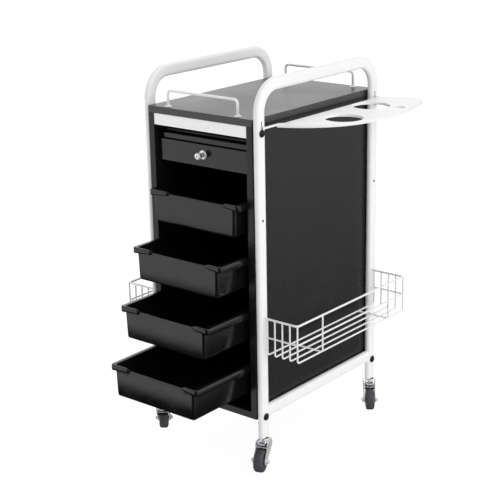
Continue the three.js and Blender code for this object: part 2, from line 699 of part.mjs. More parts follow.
function casterAxle() {
  const half = FORK_GAP / 2 + FORK_SHEET + GAP;
  return join([
    rod('x', AXLE_RADIUS, 2 * half + 2, 0, 0, 0, 12),
    rod('x', 5.2, 3.4, half + 1.7, 0, 0, 6),
    rod('x', 5, 2.6, -half - 1.3, 0, 0, 12),
  ]);
}

function casterWheel() {
  const w = WHEEL_WIDTH / 2;
  const r = WHEEL_RADIUS;
  const bore = AXLE_RADIUS + GAP;
  const hub = FORK_GAP / 2 - 1;
  const wheel = new THREE.LatheGeometry([
    [bore, -hub], [6.5, -hub], [7.5, -w + 1.5], [18, -w], [r - 3, -w], [r - 0.4, -w + 3.6],
    [r, 0],
    [r - 0.4, w - 3.6], [r - 3, w], [18, w], [7.5, w - 1.5], [6.5, hub], [bore, hub], [bore, -hub],
  ].map(([a, b]) => new THREE.Vector2(a, b)), 20);
  return wheel.rotateZ(Math.PI / 2);
}

// corner, side, end, swivel angle of the trail, in degrees from straight back
const CASTERS = [
  ['front_right', 1, -1, 199],
  ['front_left', -1, -1, 39],
  ['rear_right', 1, 1, 219],
  ['rear_left', -1, 1, 150],
];
for (const [corner, side, end, angle] of CASTERS) {
  const foot = new THREE.Group();
  foot.position.set(side * LEG_X, end * LEG_Y, 0);
  group.add(foot);
  add(`caster_${corner}_stem`, casterStem(), chrome(), foot);
  const swivel = new THREE.Group();
  swivel.rotation.z = THREE.MathUtils.degToRad(angle);
  foot.add(swivel);
  add(`caster_${corner}_fork`, casterFork(), chrome(), swivel);
  add(`caster_${corner}_axle`, casterAxle(), chrome(), swivel).position.set(0, TRAIL, WHEEL_RADIUS);
  add(`caster_${corner}_wheel`, casterWheel(), rubber(), swivel).position.set(0, TRAIL, WHEEL_RADIUS);
}

// The origin is on the floor, at the middle of the whole object's width and depth.
group.updateMatrixWorld(true);
const whole = new THREE.Box3().setFromObject(group, true);
group.position.set(-(whole.min.x + whole.max.x) / 2, -(whole.min.y + whole.max.y) / 2, -whole.min.z);

export default group;
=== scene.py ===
import math
import bpy
from mathutils import Matrix, Vector


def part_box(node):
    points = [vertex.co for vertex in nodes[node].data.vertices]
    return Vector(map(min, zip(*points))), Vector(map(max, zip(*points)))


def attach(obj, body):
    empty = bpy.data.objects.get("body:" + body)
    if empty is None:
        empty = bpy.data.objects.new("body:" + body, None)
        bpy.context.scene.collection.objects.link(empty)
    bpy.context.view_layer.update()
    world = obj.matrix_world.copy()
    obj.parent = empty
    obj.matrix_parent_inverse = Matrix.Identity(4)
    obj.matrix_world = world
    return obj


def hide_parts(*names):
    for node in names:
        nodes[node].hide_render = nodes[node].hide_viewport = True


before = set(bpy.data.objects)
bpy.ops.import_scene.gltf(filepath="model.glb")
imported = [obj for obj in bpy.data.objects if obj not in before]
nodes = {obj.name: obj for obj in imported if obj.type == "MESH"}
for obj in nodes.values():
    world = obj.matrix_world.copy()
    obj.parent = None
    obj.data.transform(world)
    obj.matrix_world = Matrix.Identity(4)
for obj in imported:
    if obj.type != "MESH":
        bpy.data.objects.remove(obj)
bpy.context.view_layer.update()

MM = 0.001
scene = bpy.context.scene


# ---- Places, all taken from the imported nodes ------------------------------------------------
def box_mm(node):
    """A node's lowest and highest corner in millimetres from the cabinet's middle and the floor."""
    lo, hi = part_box(node)
    return ([(lo[i] - MIDDLE[i]) / MM for i in range(3)], [(hi[i] - MIDDLE[i]) / MM for i in range(3)])


_lo, _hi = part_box("worktop")
MIDDLE = ((_lo[0] + _hi[0]) / 2, (_lo[1] + _hi[1]) / 2, 0.0)


def place(x, y, z):
    """A point given in millimetres from the cabinet's middle, in the frame's metres."""
    return Vector((x * MM + MIDDLE[0], y * MM + MIDDLE[1], z * MM))


# ---- Mesh making -----------------------------------------------------------------------------
def make_mesh(name, verts, faces, material, sharp=35.0):
    """A smooth-shaded mesh from points in millimetres from the cabinet's middle."""
    mesh = bpy.data.meshes.new(name)
    mesh.from_pydata([place(*v) for v in verts], [], faces)
    mesh.validate()
    for polygon in mesh.polygons:
        polygon.use_smooth = True
    mesh.set_sharp_from_angle(angle=math.radians(sharp))
    mesh.materials.append(material)
    obj = bpy.data.objects.new(name, mesh)
    scene.collection.objects.link(obj)
    return obj


def soften(obj, width, segments=3, angle=30.0):
    """Rounds the sharp edges, width in millimetres."""
    bevel = obj.modifiers.new("soft_edges", "BEVEL")
    bevel.width = width * MM
    bevel.segments = segments
    bevel.limit_method = "ANGLE"
    bevel.angle_limit = math.radians(angle)
    bevel.harden_normals = False


def stitch(rings, closed_ring=True, cap_start=True, cap_end=True):
    """Vertices and faces of a skin over rings with the same number of points."""
    count = len(rings[0])
    verts = [p for ring in rings for p in ring]
    faces = []
    span = count if closed_ring else count - 1
    for k in range(len(rings) - 1):
        for i in range(span):
            j = (i + 1) % count
            faces.append((k * count + i, k * count + j, (k + 1) * count + j, (k + 1) * count + i))
    if cap_start:
        faces.append(tuple(reversed(range(count))))
    if cap_end:
        faces.append(tuple(range((len(rings) - 1) * count, len(rings) * count)))
    return verts, faces


def turned(name, profile, material, centre, axis=(0, 0, 1), segments=40, sharp=35.0):
    """A piece turned about an axis; profile is a list of (radius, distance along the axis)."""
    turn = Vector((0, 0, 1)).rotation_difference(Vector(axis).normalized()).to_matrix()
    rings = []
    for radius, along in profile:
        ring = []
        for i in range(segments):
            a = 2 * math.pi * i / segments
            p = turn @ Vector((radius * math.cos(a), radius * math.sin(a), along))
            ring.append((centre[0] + p.x, centre[1] + p.y, centre[2] + p.z))
        rings.append(ring)
    verts, faces = stitch(rings)
    return make_mesh(name, verts, faces, material, sharp)


def rounded_path(corners, radius, steps):
    """The corners joined by straight runs, with an arc at each inner corner."""
    points = [Vector(corners[0])]
    for i in range(1, len(corners) - 1):
        here = Vector(corners[i])
        back = (Vector(corners[i - 1]) - here).normalized()
        ahead = (Vector(corners[i + 1]) - here).normalized()
        half = back.angle(ahead) / 2
        centre = here + (back + ahead).normalized() * (radius / math.sin(half))
        start = here + back * (radius / math.tan(half)) - centre
        end = here + ahead * (radius / math.tan(half)) - centre
        swing = start.angle(end)
        for s in range(steps + 1):
            t = s / steps
            a = math.sin((1 - t) * swing) / math.sin(swing)
            b = math.sin(t * swing) / math.sin(swing)
            points.append(centre + start * a + end * b)
    points.append(Vector(corners[-1]))
    return points


def swept_rings(points, section, normal):
    """Rings of a flat path: the section's x lies in the bend's plane, its y along the normal."""
    normal = Vector(normal)
    rings = []
    last = len(points) - 1
    for i, p in enumerate(points):
        into = (p - points[max(i - 1, 0)]).normalized()
        out = (points[min(i + 1, last)] - p).normalized()
        tangent = (into + out).normalized()
        stretch = 1.0 if i in (0, last) else 1.0 / max(tangent.dot(out), 0.3)
        side = normal.cross(tangent).normalized() * stretch
        rings.append([tuple(p + side * x + normal * y) for x, y in section])
    return rings


def circle(radius, sides):
    """A round section."""
    return [(radius * math.cos(2 * math.pi * i / sides), radius * math.sin(2 * math.pi * i / sides))
            for i in range(sides)]


def oval(deep, thick, steps):
    """Two straight sides and two round ends."""
    r = thick / 2
    run = deep / 2 - r
    points = []
    for side in (1, -1):
        for s in range(steps + 1):
            a = -math.pi / 2 + math.pi * s / steps
            points.append((side * (run + r * math.cos(a)), side * r * math.sin(a)))
    return points


def swept(name, corners, radius, section, normal, material, steps=8, sharp=50.0):
    """A section carried along the corners, which are rounded to the radius; 0 leaves them straight."""
    path = rounded_path(corners, radius, steps) if radius else [Vector(c) for c in corners]
    verts, faces = stitch(swept_rings(path, section, normal))
    return make_mesh(name, verts, faces, material, sharp)


def joined(name, pieces):
    """Several mesh objects as one; each keeps its material."""
    keep = pieces[0]
    with bpy.context.temp_override(active_object=keep, object=keep, selected_objects=pieces,
                                   selected_editable_objects=pieces):
        bpy.ops.object.join()
    keep.name = name
    keep.data.name = name
    return keep


def bar(name, x0, x1, y0, y1, z0, z1, material, edge=0.5):
    """A rectangular bar with rounded edges."""
    verts = [(x, y, z) for x in (x0, x1) for y in (y0, y1) for z in (z0, z1)]
    faces = [(0, 1, 3, 2), (4, 6, 7, 5), (0, 4, 5, 1), (2, 3, 7, 6), (0, 2, 6, 4), (1, 5, 7, 3)]
    obj = make_mesh(name, verts, faces, material, 30.0)
    soften(obj, edge, 3)
    with bpy.context.temp_override(active_object=obj, object=obj, selected_objects=[obj]):
        bpy.ops.object.modifier_apply(modifier="soft_edges")
    return obj


def finish_piece(obj, body, slot, *replaced):
    """The piece moves with a body and stands for CAD nodes, which it hides; the slot argument is not
    used.
    """
    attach(obj, body)
    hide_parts(*replaced)


# ---- Materials -------------------------------------------------------------------------------
def surface(name, colour, roughness, metallic=0.0, ior=1.5, tint=0.06, rough_spread=0.08,
            patch=9.0, bump_scale=700.0, bump=0.02, bump_depth=0.0002):
    """A Principled surface with patchy colour, patchy roughness and a fine bump.

    tint and rough_spread say how much the colour and the roughness vary, patch and bump_scale how
    fine their noise is. bump_depth is in metres.
    """
    mat = bpy.data.materials.new(name)
    mat.use_nodes = True
    tree = mat.node_tree
    bsdf = tree.nodes["Principled BSDF"]
    bsdf.inputs["Metallic"].default_value = metallic
    bsdf.inputs["IOR"].default_value = ior
    coords = tree.nodes.new("ShaderNodeTexCoord")
    soft = tree.nodes.new("ShaderNodeTexNoise")
    soft.inputs["Scale"].default_value = patch
    soft.inputs["Detail"].default_value = 5.0
    tree.links.new(coords.outputs["Object"], soft.inputs["Vector"])
    ramp = tree.nodes.new("ShaderNodeValToRGB")
    ramp.color_ramp.elements[0].position = 0.3
    ramp.color_ramp.elements[1].position = 0.72
    ramp.color_ramp.elements[0].color = [c * (1 - tint) for c in colour] + [1]
    ramp.color_ramp.elements[1].color = [min(c * (1 + tint * 0.5), 1) for c in colour] + [1]
    tree.links.new(soft.outputs["Fac"], ramp.inputs["Fac"])
    tree.links.new(ramp.outputs["Color"], bsdf.inputs["Base Color"])
    rough_noise = tree.nodes.new("ShaderNodeTexNoise")
    rough_noise.inputs["Detail"].default_value = 6.0
    rough_noise.inputs["Scale"].default_value = patch * 4
    tree.links.new(coords.outputs["Object"], rough_noise.inputs["Vector"])
    spread = tree.nodes.new("ShaderNodeMapRange")
    spread.inputs["From Min"].default_value = 0.3
    spread.inputs["From Max"].default_value = 0.7
    spread.inputs["To Min"].default_value = max(roughness - rough_spread / 2, 0.02)
    spread.inputs["To Max"].default_value = roughness + rough_spread
    tree.links.new(rough_noise.outputs["Fac"], spread.inputs["Value"])
    tree.links.new(spread.outputs["Result"], bsdf.inputs["Roughness"])
    grain = tree.nodes.new("ShaderNodeTexNoise")
    grain.inputs["Scale"].default_value = bump_scale
    grain.inputs["Detail"].default_value = 2.0
    tree.links.new(coords.outputs["Object"], grain.inputs["Vector"])
    relief = tree.nodes.new("ShaderNodeBump")
    relief.inputs["Strength"].default_value = bump
    relief.inputs["Distance"].default_value = bump_depth
    tree.links.new(grain.outputs["Fac"], relief.inputs["Height"])
    tree.links.new(relief.outputs["Normal"], bsdf.inputs["Normal"])
    return mat


WHITE = surface("white_powder_coat", (0.84, 0.84, 0.845), 0.36, tint=0.02, rough_spread=0.1,
                bump_scale=900, bump=0.25, bump_depth=0.00012)
BAR_WHITE = surface("bright_white_paint", (0.96, 0.96, 0.965), 0.30, tint=0.015, rough_spread=0.1,
                    bump_scale=900, bump=0.2, bump_depth=0.0001)
BOARD = surface("black_gloss_board", (0.009, 0.009, 0.010), 0.26, ior=1.38, tint=0.2,
                rough_spread=0.03, patch=4, bump_scale=140, bump=0.012, bump_depth=0.0001)
TOP = surface("black_gloss_worktop", (0.021, 0.021, 0.024), 0.32, ior=1.58, tint=0.12,
              rough_spread=0.03, patch=4, bump_scale=160, bump=0.012, bump_depth=0.0001)
TRAY = surface("black_gloss_tray", (0.006, 0.006, 0.0065), 0.12, ior=1.46, tint=0.3,
               rough_spread=0.07, bump_scale=90, bump=0.06, bump_depth=0.00015)
MATT = surface("black_matt_plastic", (0.006, 0.006, 0.0065), 0.42, ior=1.33, tint=0.3, rough_spread=0.12,
               bump_scale=800, bump=0.3, bump_depth=0.0001)
CHROME = surface("bright_chrome", (0.95, 0.95, 0.97), 0.14, metallic=0.5, tint=0.05, rough_spread=0.1,
                 patch=60, bump_scale=500, bump=0.05, bump_depth=0.0001)
HUB = surface("dark_grey_hub", (0.060, 0.061, 0.066), 0.35, tint=0.2, rough_spread=0.1,
              patch=50, bump_scale=900, bump=0.2, bump_depth=0.0001)
RUBBER = surface("grey_black_rubber", (0.058, 0.059, 0.063), 0.5, tint=0.25, rough_spread=0.15,
                 patch=60, bump_scale=1500, bump=0.4, bump_depth=0.0002)


def dress(node, material, bevel=0.0, segments=2):
    """A CAD node that stays: it gets a material, and a small bevel if asked."""
    obj = nodes[node]
    obj.data.materials.clear()
    obj.data.materials.append(material)
    if bevel:
        soften(obj, bevel, segments)


# ---- Cabinet ---------------------------------------------------------------------------------
dress("worktop", TOP, 0.6, 3)
for node in ("left_panel", "right_panel", "bottom_panel", "back_panel"):
    dress(node, BOARD, 0.5)
dress("front_cross_bar", BAR_WHITE, 0.8, 3)
dress("lock_strike", MATT, 0.3)
for number in range(1, 6):
    for side in ("left", "right"):
        dress(f"runner_{number}_{side}", MATT, 0.2, 1)

# ---- Side frames: smooth flat-oval tube ------------------------------------------------------
lo, hi = box_mm("right_side_frame")
TUBE_THICK = hi[0] - lo[0]
LEG_X = (hi[0] + lo[0]) / 2
TUBE_DEEP = 2 * TUBE_THICK
LEG_Y = hi[1] - TUBE_DEEP / 2
LEG_FOOT, ARCH_HEIGHT = lo[2], hi[2]
OUTER_FACE = LEG_X + TUBE_THICK / 2
ARCH_BEND = 56
SCREW_HEIGHT = 563.5
# Height of the hook slots in the right legs; a thin black bar in each paints the shade inside the slot
SLOT_LOW, SLOT_HIGH = 756.0, 772.0
SLOT_SHADE_HALF = 1.2
for side_name, side in (("right", 1), ("left", -1)):
    mid = ARCH_HEIGHT - TUBE_DEEP / 2
    x = side * LEG_X
    tube = swept(f"{side_name}_frame_tube",
                 [(x, -LEG_Y, LEG_FOOT), (x, -LEG_Y, mid), (x, LEG_Y, mid), (x, LEG_Y, LEG_FOOT)],
                 ARCH_BEND, oval(TUBE_DEEP, TUBE_THICK, 14), (1, 0, 0), WHITE, steps=24)
    face = side * OUTER_FACE
    marks = [tube]
    for end in (-1, 1):
        y = end * LEG_Y
        marks.append(turned("leg_screw", [(0.01, -1), (2.6, -1), (2.6, 0.25), (2.0, 0.7), (0.01, 0.8)],
                            MATT, (face, y, SCREW_HEIGHT), (side, 0, 0), 24))
        if side > 0:
            # a thin black bar paints the shade inside the hook slot
            marks.append(bar("hook_slot_shade", face - 1.2, face + 0.05, y - SLOT_SHADE_HALF, y + SLOT_SHADE_HALF,
                             SLOT_LOW, SLOT_HIGH, MATT, 0.03))
    finish_piece(joined(f"{side_name}_frame_tube", marks), "frame", "white_paint",
                 f"{side_name}_side_frame")
    rl, rh = box_mm(f"{side_name}_lower_rail")
    z = (rl[2] + rh[2]) / 2
    rail = swept(f"{side_name}_rail_tube", [(x, rl[1], z), (x, rh[1], z)], 0,
                 oval(rh[2] - rl[2], TUBE_THICK, 14), (1, 0, 0), WHITE)
    finish_piece(rail, "frame", "white_paint", f"{side_name}_lower_rail")


# ---- Trays -----------------------------------------------------------------------------------
def smooth_step(t):
    """0 below 0, 1 above 1, and a smooth rise between."""
    t = min(max(t, 0.0), 1.0)
    return t * t * (3 - 2 * t)


def tray_ring(half_x, y0, y1, radius, z):
    """A rounded rectangle at height z, with close points along its front side."""
    corner_steps = 10
    front_steps = 64
    ring = []
    for sx, sy, quarter in ((1, 1, 0), (-1, 1, 1), (-1, -1, 2), (1, -1, 3)):
        cx = sx * (half_x - radius)
        cy = y1 - radius if sy > 0 else y0 + radius
        for s in range(corner_steps + 1):
            a = (quarter + s / corner_steps) * math.pi / 2
            ring.append((cx + radius * math.cos(a), cy + radius * math.sin(a), z))
        if quarter == 2:
            start, end = -(half_x - radius), half_x - radius
            for s in range(1, front_steps):
                ring.append((start + (end - start) * s / front_steps, y0, z))
    return ring


GRIP_FROM, GRIP_TO = -71.0, 87.0   # the finger cut-out, across the front
GRIP_DROP = 4.5                    # how far the cut-out lies below the rim
GRIP_BLEND = 4.0                   # length of each step down into it
SIDE_LIP, FRONT_LIP = 18.0, 13.5   # how far the rim's lip hangs down
LIP_TAPER = 3.6                    # how much shorter the front lip is beside the cut-out
LIP_ENDS, LIP_BLEND = 12.0, 8.0    # the side lip turns into the front lip this close to the front


def tray_mesh(name, node, grip=True):
    """The moulded tray: leaning walls, a rolled rim with a lip, and the finger cut-out in front."""
    lo, hi = box_mm(node)
    half, front, back, floor, top = hi[0], lo[1], hi[1], lo[2], hi[2]
    wall, nose, lean = 2.5, 2.2, 3.4
    upper, base = half - 10.8, half - 12.8
    low = top - GRIP_DROP

    def in_grip(x):
        """1 over the cut-out, 0 beside it."""
        reach = GRIP_BLEND / 2
        return (smooth_step((x - GRIP_FROM + reach) / GRIP_BLEND)
                * smooth_step((GRIP_TO + reach - x) / GRIP_BLEND))

    def inward(x):
        """0 at a front corner, rising to 1 where the cut-out begins."""
        if not grip:
            return 0.0
        if x < 0:
            return smooth_step((x + half) / (half + GRIP_FROM))
        return smooth_step((half - x) / (half - GRIP_TO))

    def ring(half_x, inset, radius, z, cut_inset=None, cut_z=None, lip=0.0):
        """lip is how much of the lip's height this ring follows; cut_* are its place in the cut-out."""
        points = []
        for x, y, level in tray_ring(half_x, front + inset, back - inset, radius, z):
            if lip:
                near = smooth_step((front + LIP_ENDS - y) / LIP_BLEND)
                level += near * lip * (SIDE_LIP - FRONT_LIP + LIP_TAPER * inward(x))
            if grip and cut_inset is not None and y < front + inset + 1e-6:
                f = in_grip(x)
                y += (front + cut_inset - y) * f
                level += (cut_z - level) * f
            points.append((x, y, level))
        return points

    rings = [
        ring(base - 7, lean + 7, 3, floor),
        ring(base - 3.5, lean + 3.2, 5, floor + 0.7),
        ring(base - 1.2, lean + 1.0, 6, floor + 2.4),
        ring(base, lean, 7, floor + 5.5),
        ring(upper - 0.5, nose + 0.8, 7, top - SIDE_LIP - 2),
        ring(upper, nose, 7, top - 4.5, nose + 0.35, low - 6.5),
        ring(upper + 0.8, nose - 0.4, 7, top - 3.2, nose + 0.3, low - 5.6),
        ring(half - 3.0, 2.9, 6, top - 2.8, nose + 0.28, low - 5.0),
        ring(half - 2.4, 2.4, 6.4, top - 3.6, nose + 0.25, low - 4.6),
        ring(half - 2.3, 2.3, 6.5, top - SIDE_LIP + 0.6, nose + 0.2, low - 4, 1.0),
        ring(half - 1.6, 1.6, 6.8, top - SIDE_LIP, nose + 0.18, low - 3.4, 1.0),
        ring(half - 0.5, 0.5, 7.2, top - SIDE_LIP + 0.3, nose + 0.15, low - 2.8, 1.0),
        ring(half, 0.0, 7.5, top - SIDE_LIP + 1.2, nose + 0.1, low - 2.0, 1.0),
        ring(half, 0.0, 7.5, top - 2.4, nose + 0.1, low - 1.2),
        ring(half - 0.7, 0.7, 7.1, top - 0.7, nose + 0.35, low - 0.45),
        ring(half - 2.2, 2.2, 6.6, top, nose + 0.9, low),
        ring(upper + 0.4, nose + 1.0, 6.4, top, nose + 1.5, low),
        ring(upper - 1.2, nose + 1.8, 6, top - 0.5, nose + 2.1, low - 0.5),
        ring(upper - wall, nose + wall, 5, top - 2.2, nose + wall, low - 2.0),
        ring(base - wall, lean + wall, 4.5, floor + 8.5),
        ring(base - wall - 1.2, lean + wall + 1.2, 4, floor + 5.0),
        ring(base - wall - 4, lean + wall + 4, 3.4, floor + 3.0),
        ring(base - wall - 8, lean + wall + 8, 3, floor + 2.5),
    ]
    verts, faces = stitch(rings)
    return make_mesh(name, verts, faces, TRAY, 55.0)


for number in range(2, 6):
    tray = tray_mesh(f"pull_out_tray_{number}", f"tray_{number}")
    finish_piece(tray, f"tray_{number}", "black_tray", f"tray_{number}")
locked = tray_mesh("locking_tray", "drawer_1_tray", grip=False)
finish_piece(locked, "drawer_1", "black_tray", "drawer_1_tray")
dress("drawer_1_front", TRAY, 1.0, 4)

# ---- Lock ------------------------------------------------------------------------------------
lo, hi = box_mm("lock_barrel")
lock_at = ((lo[0] + hi[0]) / 2, box_mm("drawer_1_front")[0][1], (lo[2] + hi[2]) / 2)
FORWARD = (0, -1, 0)
flange = turned("lock_flange",
                [(3.4, -16), (8, -16), (8, 0.3), (9.6, 0.3), (10, 0.8), (10, 1.6), (9.4, 2.4),
                 (8.4, 3.0), (7.4, 3.2), (3.4, 3.2)],
                CHROME, lock_at, FORWARD, 48)
finish_piece(flange, "drawer_1", "chrome", "lock_barrel")
neck = turned("lock_neck",
              [(2.9, -22), (3.0, -21.6), (3.0, 3.6), (5.2, 3.8), (5.6, 4.4), (5.6, 6.2), (5.0, 6.8),
               (4.4, 7.0), (4.4, 9.4), (5.0, 9.6), (5.4, 10.2), (5.4, 14.6), (5.0, 15.2)],
              MATT, lock_at, FORWARD, 40)
collar = turned("lock_collar",
                [(4.2, 7.1), (6.1, 7.2), (6.5, 7.6), (6.5, 8.8), (6.1, 9.2), (4.2, 9.3)],
                CHROME, lock_at, FORWARD, 40)
head = turned("lock_knob_head",
              [(4.6, 15.3), (6.6, 15.4), (7.1, 15.9), (7.1, 19.0), (6.6, 20.0), (5.7, 20.6),
               (2.4, 20.7), (2.1, 20.0), (0.01, 19.9)],
              CHROME, lock_at, FORWARD, 48)
dot = turned("key_recess", [(1.9, 19.7), (1.9, 20.15), (0.01, 20.2)], MATT, lock_at, FORWARD, 24)
finish_piece(joined("lock_knob_piece", [head, neck, collar, dot]), "lock", "chrome", "lock_knob")
dress("lock_cam", CHROME, 0.3)

# ---- Worktop wire rails ----------------------------------------------------------------------
RAIL_WIRE = 3.0
RAIL_FOOT = 8
for end in ("front", "rear"):
    lo, hi = box_mm(f"{end}_rail")
    y = (lo[1] + hi[1]) / 2
    foot, top = lo[2], hi[2] - 2.8
    reach = hi[0] - RAIL_FOOT
    parts = [swept("rail_wire",
                   [(-reach, y, foot + 1), (-reach, y, top), (reach, y, top), (reach, y, foot + 1)],
                   9, circle(RAIL_WIRE, 20), (0, 1, 0), WHITE, steps=10)]
    for x in (-reach, reach):
        parts.append(turned("rail_foot",
                            [(0.01, 0), (7.6, 0), (RAIL_FOOT, 0.4), (RAIL_FOOT, 0.9), (7.2, 1.5),
                             (5.4, 2.1), (4.2, 3.2), (3.4, 5.0), (3.05, 7.5), (2.6, 7.6)],
                            WHITE, (x, y, foot), (0, 0, 1), 32))
    finish_piece(joined(f"{end}_wire_rail", parts), "frame", "white_paint", f"{end}_rail")


# ---- Baskets ---------------------------------------------------------------------------------
BASKET_WIRE, BASKET_RIM = 1.85, 2.35   # wire radii
BASKET_LONG_WIRES = 5
BASKET_TIES = (-115, 140)              # the cross wires, along the basket
BASKET_MIDDLE = 40                     # height of the middle wire above the base


def basket(side_name, side):
    """U wires side by side, a rim whose ends enter the legs, a middle wire, and two cross wires."""
    lo, hi = box_mm(f"{side_name}_basket")
    outer = (hi[0] if side > 0 else -lo[0]) - 2.7
    inner = OUTER_FACE + 5.7
    half = (hi[1] - lo[1]) / 2 - 2.2
    top = hi[2] - 2.2
    base = lo[2] + 3.2
    thin = circle(BASKET_WIRE, 12)
    parts = []
    for i in range(BASKET_LONG_WIRES):
        x = side * (inner + (outer - inner) * i / (BASKET_LONG_WIRES - 1))
        parts.append(swept("long_wire",
                           [(x, -half, top), (x, -half, base), (x, half, base), (x, half, top)],
                           6, thin, (1, 0, 0), WHITE, steps=6))
    for section, start, z in ((circle(BASKET_RIM, 16), OUTER_FACE - 4, top),
                              (thin, inner, base + BASKET_MIDDLE)):
        corners = [(side * start, -half, z), (side * outer, -half, z), (side * outer, half, z),
                   (side * start, half, z)]
        parts.append(swept("round_wire", corners, 7, section, (0, 0, 1), WHITE, steps=8))
    for y in BASKET_TIES:
        below, beyond = base - 1.5, side * (outer + 1)
        parts.append(swept("tie_wire", [(side * inner, y, below), (beyond, y, below), (beyond, y, top)],
                           5, thin, (0, 1, 0), WHITE, steps=6))
    finish_piece(joined(f"{side_name}_wire_basket", parts), "frame", "white_paint",
                 f"{side_name}_basket")


basket("right", 1)
basket("left", -1)


# ---- Appliance holder: a rounded-edge plate with holes, a thin arm and two hooks ---------------
def quad(start, control, end, steps):
    """Points of a quadratic curve, without the first."""
    points = []
    for i in range(1, steps + 1):
        t = i / steps
        points.append(tuple((1 - t) ** 2 * start[k] + 2 * t * (1 - t) * control[k] + t * t * end[k]
                            for k in (0, 1)))
    return points


lo, hi = box_mm("tool_holder")
PLATE = 6.0
PLATE_EDGE = 1.3                       # radius of the plate's rounded edges
PLATE_LOW = hi[2] - 1.4 - PLATE
PLATE_SIDE = OUTER_FACE + 4
PLATE_HOLES = ((234, -26, 41), (206, 117, 41), (267, 136, 13))
outline = [(PLATE_SIDE, -160.0)]
outline += quad(outline[-1], (272, -114), (294, -5), 24)
outline += quad(outline[-1], (309, 72), (292, 150), 20)
outline.append((281, 196))
outline += quad(outline[-1], (270, 244), (238, 249), 16)
outline += quad(outline[-1], (222, 250), (205, 240), 8)
outline.append((PLATE_SIDE, 216))
curve = bpy.data.curves.new("holder_outline", "CURVE")
curve.dimensions = "2D"
curve.fill_mode = "BOTH"
curve.extrude = (PLATE / 2 - PLATE_EDGE) * MM
curve.bevel_depth = PLATE_EDGE * MM
curve.bevel_resolution = 4
curve.offset = -PLATE_EDGE * MM
holes = [[(cx + x, cy + y) for x, y in circle(r, 72)] for cx, cy, r in PLATE_HOLES]
for loop in [outline] + holes:
    spline = curve.splines.new("POLY")
    spline.points.add(len(loop) - 1)
    for point, (x, y) in zip(spline.points, loop):
        point.co = (x * MM, y * MM, 0, 1)
    spline.use_cyclic_u = True
shape = bpy.data.objects.new("holder_outline", curve)
scene.collection.objects.link(shape)
bpy.context.view_layer.update()
flat = bpy.data.meshes.new_from_object(shape.evaluated_get(bpy.context.evaluated_depsgraph_get()))
bpy.data.objects.remove(shape)
flat.transform(Matrix.Translation(place(0, 0, PLATE_LOW + PLATE / 2)))
flat.name = "holder_plate"
for polygon in flat.polygons:
    polygon.use_smooth = True
flat.set_sharp_from_angle(angle=math.radians(40))
flat.materials.clear()
flat.materials.append(WHITE)
plate = bpy.data.objects.new("holder_plate", flat)
scene.collection.objects.link(plate)

HOOK_LOW, HOOK_HIGH, HOOK_TIP = hi[2] - 3.6, hi[2], hi[2] - 8.6
HOOK_HALF = 1.6
HOOK_ROOT = -148.0                     # where the front hook's long arm meets the plate
wall_in = OUTER_FACE - 1.5
holder_parts = [plate]
for end in (-1, 1):
    y = end * LEG_Y
    front, back = y - HOOK_HALF, y + HOOK_HALF
    arm_to = HOOK_ROOT if end < 0 else y + 4
    for name, x0, x1, back_to, low in (
            ("hook_neck", wall_in - 2.8, PLATE_SIDE + 0.6, back, HOOK_LOW),
            ("hook_tip", wall_in - 2.8, wall_in - 0.4, back, HOOK_TIP),
            ("hook_arm", OUTER_FACE + 0.5, PLATE_SIDE + 1.4, arm_to, HOOK_LOW)):
        holder_parts.append(bar(name, x0, x1, front, back_to, low, HOOK_HIGH, WHITE))
    holder_parts.append(bar("hook_root", PLATE_SIDE + 0.3, PLATE_SIDE + 4, arm_to - 10, arm_to + 6,
                            PLATE_LOW + 3, HOOK_HIGH, WHITE, 1.2))
finish_piece(joined("appliance_holder", holder_parts), "holder", "white_paint", "tool_holder")

# ---- Bolts -----------------------------------------------------------------------------------
for level in ("upper", "lower"):
    for end in ("front", "rear"):
        for side_name, side in (("right", 1), ("left", -1)):
            node = f"bolt_{level}_{end}_{side_name}"
            lo, hi = box_mm(node)
            at = (side * OUTER_FACE, (lo[1] + hi[1]) / 2, (lo[2] + hi[2]) / 2)
            cap = turned(f"{node}_cap",
                         [(2.9, -20), (3.0, -19.6), (3.0, 0.3), (7.6, 0.3), (8, 0.7), (8, 1.3),
                          (7.6, 2.2), (6.4, 3.1), (4.4, 3.7), (2.2, 3.95), (0.01, 4.0)],
                         MATT, at, (side, 0, 0), 36)
            finish_piece(cap, "frame", "black_matt", node)


# ---- Casters ---------------------------------------------------------------------------------
CHEEK_HALF, CHEEK_BEND, CHEEK_SHEET = 13.3, 3.6, 2.3
CROWN_FRONT, CROWN_BACK = -15.0, 16.0  # the fork's reach under its crown, from the swivel line
AXLE_BOSS = 8.2                        # radius of the cheek's round end
BRIDGE_SHEET = 1.2
TYRE_HALF = 10.0


def folded_sheet(name, profile, half_width, thickness, material, at):
    """A strip of sheet that follows a profile of (back, height) points from cheek to cheek."""
    verts = [at(px, back, z) for back, z in profile for px in (-half_width, 0.0, half_width)]
    faces = []
    for i in range(len(profile) - 1):
        for k in range(2):
            a = 3 * i + k
            faces.append((a, a + 1, a + 4, a + 3))
    obj = make_mesh(name, verts, faces, material, 30.0)
    thick = obj.modifiers.new("sheet", "SOLIDIFY")
    thick.thickness = thickness * MM
    thick.offset = 0.0
    soften(obj, 0.3, 2, 40.0)
    return obj


